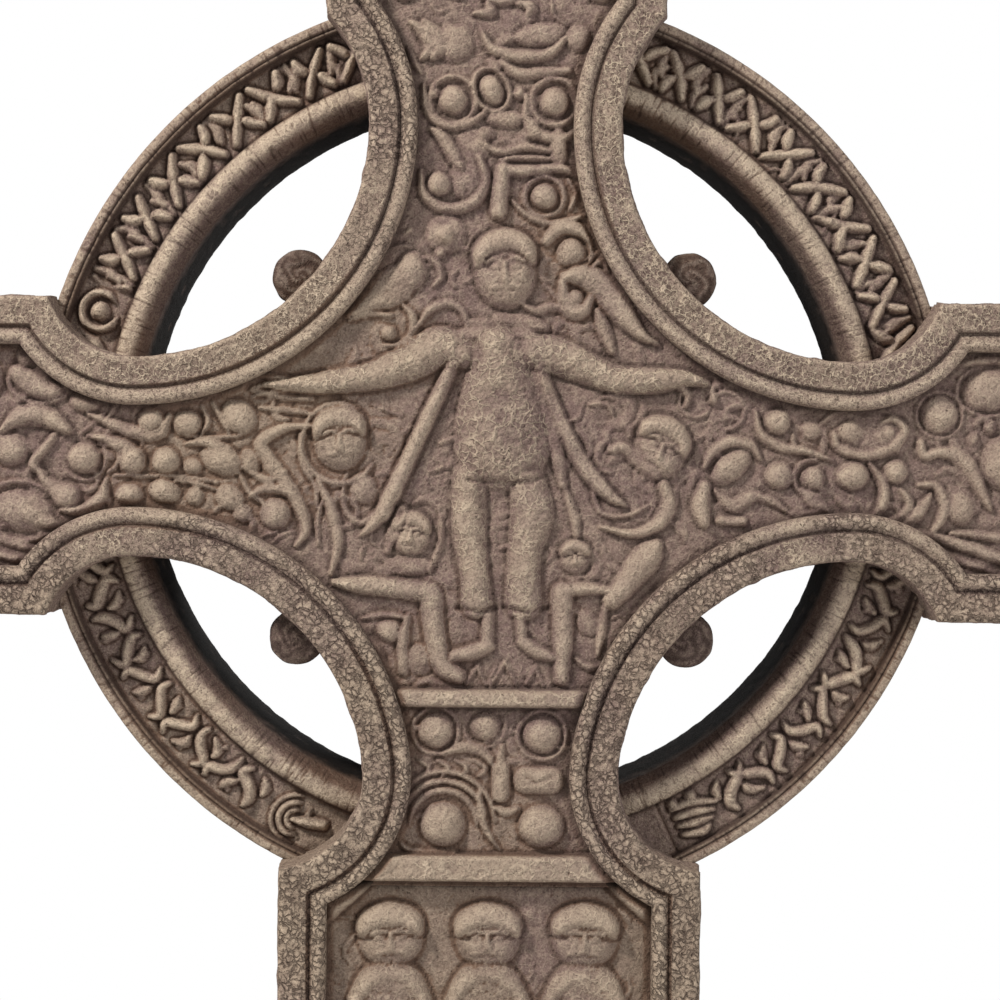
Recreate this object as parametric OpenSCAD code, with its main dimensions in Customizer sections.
// Ringed stone cross on a tapered base block.
// The cross is one carved stone: upright, side arms, ring and carving. It stands on a separate base block.
// X runs along the side arms, the front face looks along -Y, Z is up, and Z = 0 is the ground.

/* [Whole cross] */
// Height of the side arms' centre line above the ground
centre_h = 1600; // [1330:10:1950]
// Width across both side arms
arm_span = 1000; // [820:10:1200]
// Rise of the top arm above the centre line
top_rise = 500; // [420:10:600]
// Thickness of the stone from front face to back face
thickness = 220; // [190:2:280]

/* [Arms] */
// Height of a side arm's end block
arm_end_w = 272; // [240:2:300]
// Width of the top arm's end block
top_end_w = 290; // [260:2:330]
// Height of a side arm at its neck
arm_neck_w = 170; // [150:2:200]
// Width of the upright at its necks
stem_neck_w = 216; // [190:2:240]
// Radius of the round hollow between two arms
hollow_r = 200; // [180:2:220]
// Radius of the flare from a side arm's neck to its end block
arm_flare_r = 76; // [66:1:90]
// Radius of the flare from the top neck to the top end block
top_flare_r = 136; // [120:1:160]

/* [Shaft] */
// Width of the shaft
shaft_w = 360; // [320:2:440]
// Radius of the flare from the lower neck to the shaft's shoulder
shaft_flare_r = 80; // [70:1:95]
// Angle at which the shoulder's flare leaves the hollow
shaft_flare_turn = 7; // [4:0.5:12]
// Drop from the centre line to the ledge under the head's scene, and the ledge's height
ledge_drop = 197; // [190:1:205]
ledge_h = 16; // [10:1:22]
// Drop from the centre line to the top of the shaft's first panel
shaft_panels_drop = 362; // [355:1:380]
// Height of the figure panel
figure_panel_h = 270; // [230:5:300]
// Number of panels below the figure panel
lower_panels = 2; // [2:1:3]
// Height of the plain foot of the shaft below its last panel
plain_foot_h = 136; // [90:2:180]
// Width of the plain bar between two panels
bar_w = 26; // [20:1:34]

/* [Mouldings] */
// Width of the plain border inside the outline
border_w = 25; // [20:1:32]
// Width and depth of the groove between border and bead
groove_w = 3; // [2:0.5:5]
groove_d = 4; // [2:0.5:6]
// Width of the bead inside the groove
bead_w = 13; // [9:0.5:18]
// Depth of the carved field below the front face
field_d = 15; // [10:1:20]
// Depth of the plainer field on the back face
back_field_d = 10; // [6:1:15]
// Depth of the sunk fields on the shaft's sides and the arm ends
side_field_d = 5; // [3:1:8]

/* [Ring] */
// Outer radius of the ring
ring_r = 400; // [380:2:420]
// Radial width of the ring
ring_w = 86; // [76:2:96]
// Thickness of the ring from front to back
ring_t = 140; // [110:5:170]
// Rise of the ring's centre above the arms' centre line
ring_rise = 8; // [0:1:12]
// Radius of the roll on the ring's inner edge
ring_inner_roll_r = 10; // [7:0.5:13]
// Radius of the roll on the ring's outer edge
ring_outer_roll_r = 6; // [4:0.5:9]
// Depth of the ring's carved field below its rolls' axes
ring_field_d = 5; // [3:0.5:8]
// Radius and length of the rods in the ring's knotwork
ring_rod_r = 4.5; // [3:0.5:6]
ring_rod_len = 34; // [24:1:40]
// Rods in one quarter of the ring
ring_rods = 10; // [6:1:12]

/* [Hollow rolls] */
// Radius of the roll that lies in each hollow
roll_r = 24; // [18:1:30]
// Distance from the roll's axis out to the hollow's wall
roll_proud = 9; // [4:1:14]
// Setback of the roll's ends from the faces of the cross
roll_setback = 26; // [15:1:40]

/* [Base] */
// Width and depth of the base at the ground
base_w = 700; // [600:10:800]
base_d = 500; // [420:10:600]
// Height of the base
base_h = 320; // [240:10:380]
// Width and depth of the base's top
base_top_w = 480; // [460:10:540]
base_top_d = 330; // [300:10:380]
// Height of the base's upright foot and of its upright top
foot_h = 80; // [50:5:110]
top_block_h = 40; // [25:5:60]
// Width of the ledge between foot and taper
ledge_w = 30; // [15:1:45]

/* [Hidden] */
$fn = 96;
knob = 1.5; // how far a carved bar's rounded ends stand out beyond its shank
hollow_x = stem_neck_w / 2 + hollow_r;
hollow_z = arm_neck_w / 2 + hollow_r;
shaft_foot = base_h - centre_h;
taper_h = base_h - foot_h - top_block_h;
overlap = 1; // how far stacked blocks of the base run into each other
ring_face = ring_t / 2 - ring_inner_roll_r;
ring_in = ring_r - ring_w;
field_inset = border_w + groove_w + bead_w;
field_y = -thickness / 2 + field_d;
back_field_y = thickness / 2 - back_field_d;
ledge_z = -ledge_drop;
head_panel_foot = -(shaft_panels_drop - bar_w);
lower_panels_top = -shaft_panels_drop - figure_panel_h;
lower_panel_h = (lower_panels_top - shaft_foot - plain_foot_h) / lower_panels - bar_w;
panel_heights = [figure_panel_h, each [for (i = [1:lower_panels]) lower_panel_h]];
panel_tops = [-shaft_panels_drop,
              each [for (i = [1:lower_panels]) lower_panels_top - bar_w - (i - 1) * (lower_panel_h + bar_w)]];

// Colours of the two stones
cross_colour = [0.45, 0.39, 0.35];
base_colour = [0.43, 0.38, 0.34];

// The space between two depths, as thick as the 2D shape drawn in the plane of the cross
module slab(front, back) {
    translate([0, back, 0]) rotate([90, 0, 0]) linear_extrude(height = back - front) children();
}

// A round bar between two points [x, z] of the front field, its axis at depth y, with a knob at each end
module limb(from, to, r_from, r_to, y = field_y + 1) {
    run = to - from;
    translate([from[0], y, from[1]]) {
        rotate([0, 90 - atan2(run[1], run[0]), 0])
            cylinder(h = norm(run), r1 = r_from, r2 = r_to);
        sphere(r = r_from + knob);
    }
    translate([to[0], y, to[1]]) sphere(r = r_to + knob);
}

// A boss of radius r whose round top stands rise above the field at depth y; its ball is sunk in the stone
module boss(x, z, r, rise = 9, y = field_y) {
    ball = (r * r + rise * rise) / (2 * rise);
    translate([x, y - rise + ball, z]) sphere(r = ball);
}

// Outline of the cross without its ring, moved inwards by inset
module outline(inset = 0) {
    turn_z = -hollow_z + hollow_r * sin(shaft_flare_turn);
    shaft_flare_z = -hollow_z + (hollow_r - shaft_flare_r) * sin(shaft_flare_turn);
    shaft_flare_x = hollow_x - (hollow_r - shaft_flare_r) * cos(shaft_flare_turn);
    difference() {
        union() {
            translate([-hollow_x, turn_z]) square([2 * hollow_x, hollow_z - turn_z]);
            square([arm_span - 2 * inset, arm_end_w - 2 * inset], center = true);
            translate([-top_end_w / 2 + inset, 0]) square([top_end_w - 2 * inset, top_rise - inset]);
            translate([-shaft_w / 2 + inset, shaft_foot])
                square([shaft_w - 2 * inset, -shaft_foot]);
        }
        for (side = [-1, 1]) {
            intersection() {
                union() {
                    translate([side * hollow_x, hollow_z]) circle(r = hollow_r + inset);
                    translate([side * hollow_x, -hollow_z]) circle(r = hollow_r + inset);
                }
                translate([-hollow_x, turn_z]) square([2 * hollow_x, hollow_z - turn_z]);
            }
            translate([side * (stem_neck_w / 2 + top_flare_r), hollow_z]) circle(r = top_flare_r + inset);
            translate([side * shaft_flare_x, shaft_flare_z]) circle(r = shaft_flare_r + inset);
            for (half = [-1, 1])
                translate([side * hollow_x, half * (arm_neck_w / 2 + arm_flare_r)])
                    circle(r = arm_flare_r + inset);
        }
    }
}

// A band of the outline between two heights
module outline_band(inset, low, high) {
    intersection() {
        outline(inset);
        translate([-arm_span, low]) square([2 * arm_span, high - low]);
    }
}

// The sunk fields of one face: the head's scene, the panel under its ledge, and the shaft's panels
module fields() {
    outline_band(field_inset, ledge_z, top_rise);
    outline_band(field_inset, head_panel_foot, ledge_z - ledge_h);
    for (i = [0:len(panel_tops) - 1])
        outline_band(field_inset, panel_tops[i] - panel_heights[i], panel_tops[i]);
}

// The groove that parts the plain border from the bead
module groove() {
    bead_foot = shaft_foot + plain_foot_h - bead_w;
    difference() {
        outline_band(border_w, bead_foot - groove_w, top_rise);
        outline_band(border_w + groove_w, bead_foot, top_rise);
    }
}

// Shallow sunk fields on the shaft's two sides and on the three arm ends
module side_fields() {
    field_w = thickness - 2 * field_inset;
    shaft_top = -shaft_panels_drop - border_w;
    shaft_low = shaft_foot + field_inset;
    for (side = [-1, 1]) {
        translate([side * shaft_w / 2, 0, (shaft_top + shaft_low) / 2])
            cube([2 * side_field_d, field_w, shaft_top - shaft_low], center = true);
        translate([side * arm_span / 2, 0, 0])
            cube([2 * side_field_d, field_w, arm_end_w - 2 * field_inset], center = true);
    }
    translate([0, 0, top_rise])
        cube([top_end_w - 2 * field_inset, field_w, 2 * side_field_d], center = true);
}

// The ring, with a roll on each edge of both faces
module ring() {
    rotate_extrude($fn = 180) difference() {
        translate([ring_in, -ring_face]) square([ring_w, 2 * ring_face]);
        for (face = [-1, 1])
            translate([ring_in + 2 * ring_inner_roll_r, face * ring_face - ring_field_d])
                square([ring_w - 2 * (ring_inner_roll_r + ring_outer_roll_r), 2 * ring_field_d]);
    }
    for (face = [-1, 1]) {
        translate([0, 0, face * ring_face]) {
            rotate_extrude($fn = 180) translate([ring_in + ring_inner_roll_r, 0])
                circle(r = ring_inner_roll_r, $fn = 32);
            rotate_extrude($fn = 180) translate([ring_r - ring_outer_roll_r, 0])
                circle(r = ring_outer_roll_r, $fn = 32);
        }
    }
}

// Crossing rods of knotwork along the ring's front field
module ring_knotwork() {
    mid_r = ring_r - ring_w / 2 + ring_inner_roll_r - ring_outer_roll_r;
    depth = -ring_face + ring_field_d + 1;
    spread = 48; // degrees of ring seen between two arms
    for (quarter = [0:3], i = [0:ring_rods - 1]) {
        angle = 90 * quarter + 45 + spread * ((i + 0.5) / ring_rods - 0.5);
        rotate([0, -angle, 0]) translate([mid_r, depth, 0])
            rotate([0, (i % 2 == 0 ? 1 : -1) * 45, 0])
                cylinder(h = ring_rod_len, r = ring_rod_r, center = true, $fn = 24);
    }
}

// The four rolls that lie through the hollows, with domed ends
module hollow_rolls() {
    reach = norm([hollow_x, hollow_z]);
    out = (reach - hollow_r + roll_proud) / reach;
    half = thickness / 2 - roll_setback;
    for (sx = [-1, 1], sz = [-1, 1])
        translate([sx * hollow_x * out, 0, sz * hollow_z * out]) intersection() {
            rotate([90, 0, 0]) cylinder(h = 2 * half, r = roll_r, center = true);
            sphere(r = half);
        }
}

// The figure with spread arms in the middle of the head
module central_figure() {
    limb([6, 88], [6, 12], 28, 38, field_y + 27);
    boss(9, 166, 29, 15);
    boss(0, 134, 14, 9);
    for (side = [-1, 1]) {
        limb([6 + side * 40, 88], [6 + side * 100, 72], 13, 10);
        limb([6 + side * 100, 72], [6 + side * 172, 65], 7, 5);
        limb([6 + side * 22, -24], [6 + side * 23, -122], 16, 12);
        limb([6 + side * 14, -150], [6 + side * 34, -162], 6, 5);
        limb([4 + side * 38, 82], [4 + side * 94, -36], 7, 5);
    }
}

// The smaller bent figures to both sides of the central one
module attendants() {
    limb([-128, -112], [-50, -116], 10, 8);
    limb([-50, -116], [-38, -182], 11, 9);
    limb([62, -116], [106, -110], 7, 9);
    limb([62, -116], [62, -182], 10, 8);
    limb([108, -114], [132, -84], 12, 13);
    boss(-70, -66, 15, 8);
    boss(-88, -148, 12, 7);
    boss(72, -84, 10, 6);
    boss(-128, 14, 22, 12);
    boss(146, 6, 21, 12);
}

// Round bosses scattered over the arms and the stem, as [x, z, radius] from the centre
neck_bosses = [[-37, 307, 13], [-2, 315, 11], [50, 305, 14], [-48, 235, 11], [42, 225, 13],
    [-42, 192, 14], [62, 172, 12],
    [-350, 47, 11], [-293, 30, 12], [-262, 28, 12], [-220, 34, 14], [-350, -2, 13], [-310, -2, 13],
    [-280, -5, 12], [-234, -2, 17], [-310, -33, 12], [-280, -30, 14], [-186, -42, 14], [-370, -30, 15],
    [242, 34, 11], [245, -12, 13], [275, -13, 11], [305, -12, 14], [345, -8, 11], [306, 26, 11],
    [345, 30, 11], [380, 42, 17], [205, 0, 14],
    [-45, -232, 14], [-2, -230, 11], [44, -236, 15], [-40, -312, 18], [44, -312, 18], [42, -274, 13]];
// Bosses of the end blocks: the side arms' as [side, distance in from the arm's end, z, radius],
// and the top arm's as [x, distance down from the top, radius]
arm_end_bosses = [[-1, 96, 64, 17], [-1, 88, 5, 17], [-1, 96, -55, 19],
    [1, 74, 64, 21], [1, 68, -2, 18], [1, 100, -38, 15]];
top_end_bosses = [[-38, 142, 16], [42, 140, 18], [72, 140, 10], [-62, 142, 13]];

module carved_bosses() {
    rise = 0.6;
    for (b = neck_bosses) boss(b[0], b[1], b[2], b[2] * rise);
    for (b = arm_end_bosses) boss(b[0] * (arm_span / 2 - b[1]), b[2], b[3], b[3] * rise);
    for (b = top_end_bosses) boss(b[0], top_rise - b[1], b[2], b[2] * rise);
}

// A row of robed figures standing in a shaft panel
module robed_row(panel, heads) {
    top = panel_tops[panel];
    foot = top - panel_heights[panel];
    for (x = heads) {
        boss(x, top - 48, 24, 14);
        limb([x, top - 108], [x, foot + 36], 28, 33, field_y + 20);
    }
}

// Two rows of bosses joined by crossing bars
module boss_panel(panel) {
    mid = panel_tops[panel] - panel_heights[panel] / 2;
    step_x = shaft_w / 2 - field_inset - 60;
    step_z = panel_heights[panel] / 4;
    for (column = [-1:1], row = [-1, 1]) boss(column * step_x, mid + row * step_z, 22, 12);
    for (side = [-1, 1], column = [0, 1])
        limb([(column - 1) * step_x, mid - side * step_z], [column * step_x, mid + side * step_z], 5, 5);
}

// The back is plainer: one large boss ringed by smaller ones
module back_bosses() {
    mirror([0, 1, 0]) {
        boss(0, 0, 44, 16, -back_field_y);
        for (i = [0:7]) boss(88 * cos(45 * i), 88 * sin(45 * i), 17, 9, -back_field_y);
    }
}

module cross() {
    color(cross_colour) translate([0, 0, centre_h]) {
        difference() {
            slab(-thickness / 2, thickness / 2) outline();
            slab(-thickness, field_y) fields();
            slab(back_field_y, thickness) fields();
            slab(-thickness, -thickness / 2 + groove_d) groove();
            side_fields();
        }
        translate([0, 0, ring_rise]) rotate([90, 0, 0]) ring();
        translate([0, 0, ring_rise]) ring_knotwork();
        hollow_rolls();
        central_figure();
        attendants();
        carved_bosses();
        robed_row(0, [-78, 0, 78]);
        boss_panel(1);
        robed_row(2, [-46, 46]);
        back_bosses();
    }
}

// A block whose four sides slope evenly from the bottom rectangle to the top one
module tapered_block(low_w, low_d, top_w, top_d, h) {
    intersection() {
        translate([0, low_d / 2, 0]) rotate([90, 0, 0]) linear_extrude(height = low_d)
            polygon([[-low_w / 2, 0], [low_w / 2, 0], [top_w / 2, h], [-top_w / 2, h]]);
        translate([-low_w / 2, 0, 0]) rotate([90, 0, 90]) linear_extrude(height = low_w)
            polygon([[-low_d / 2, 0], [low_d / 2, 0], [top_d / 2, h], [-top_d / 2, h]]);
    }
}

module base() {
    color(base_colour) {
        translate([-base_w / 2, -base_d / 2, 0]) cube([base_w, base_d, foot_h]);
        translate([0, 0, foot_h - overlap])
            tapered_block(base_w - 2 * ledge_w, base_d - 2 * ledge_w, base_top_w, base_top_d,
                          taper_h + overlap);
        translate([-base_top_w / 2, -base_top_d / 2, foot_h + taper_h - overlap])
            cube([base_top_w, base_top_d, top_block_h + overlap]);
    }
}

cross();
base();
